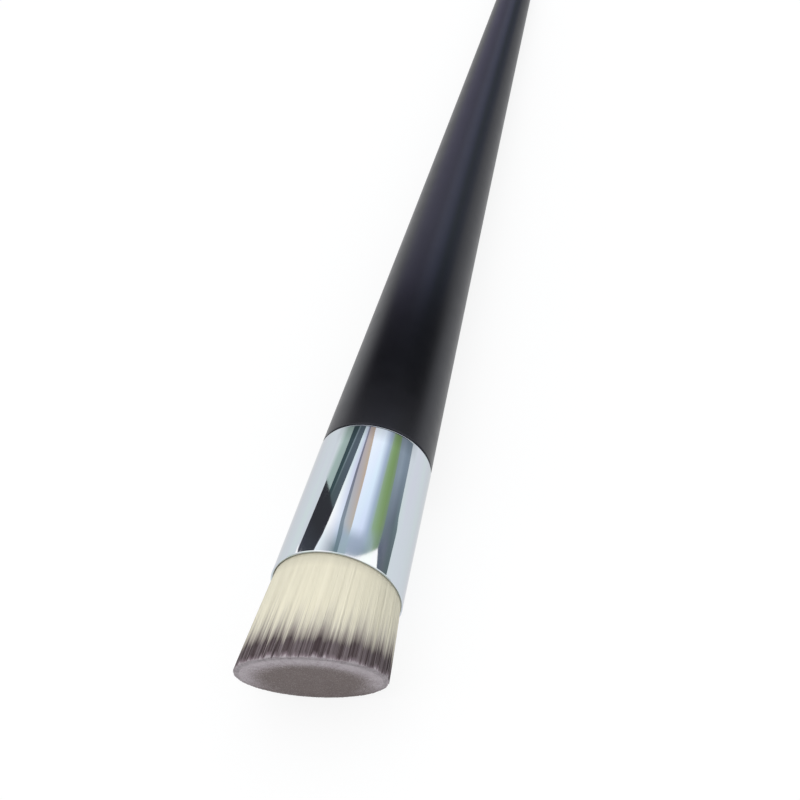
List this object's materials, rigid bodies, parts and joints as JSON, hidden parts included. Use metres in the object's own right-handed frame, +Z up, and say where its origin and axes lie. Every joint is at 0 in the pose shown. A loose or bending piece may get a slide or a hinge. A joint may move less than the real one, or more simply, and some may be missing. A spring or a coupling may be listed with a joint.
{
  "type": "round stencil brush",
  "caption": "Round flat-faced stencil brush: flared synthetic tuft trimmed on a slant, bright conical ferrule, long tapered black handle.",
  "frame": {"origin": "on the table, below the middle of the brush's bounding box, as it lies", "axes": "+X from the tail towards the tuft, +Z up; the brush's axis rises by 2.75 degrees towards the tuft"},
  "size_m": [0.1708, 0.0218, 0.022],
  "materials": {
    "black_lacquer": "satin black lacquer on turned wood",
    "glue": "clear amber glue",
    "bright_metal": "bright plated and polished",
    "set_resin": "cast resin",
    "cotton_thread": "twisted thread",
    "filament": "fine synthetic filament, cream with dark band and pale tips"
  },
  "bodies": {
    "root": {"handle": "black_lacquer", "tenon_glue": "glue", "ferrule": "bright_metal", "resin_plug": "set_resin", "root_binding": "cotton_thread", "tuft": "filament"}
  },
  "joints": []
}
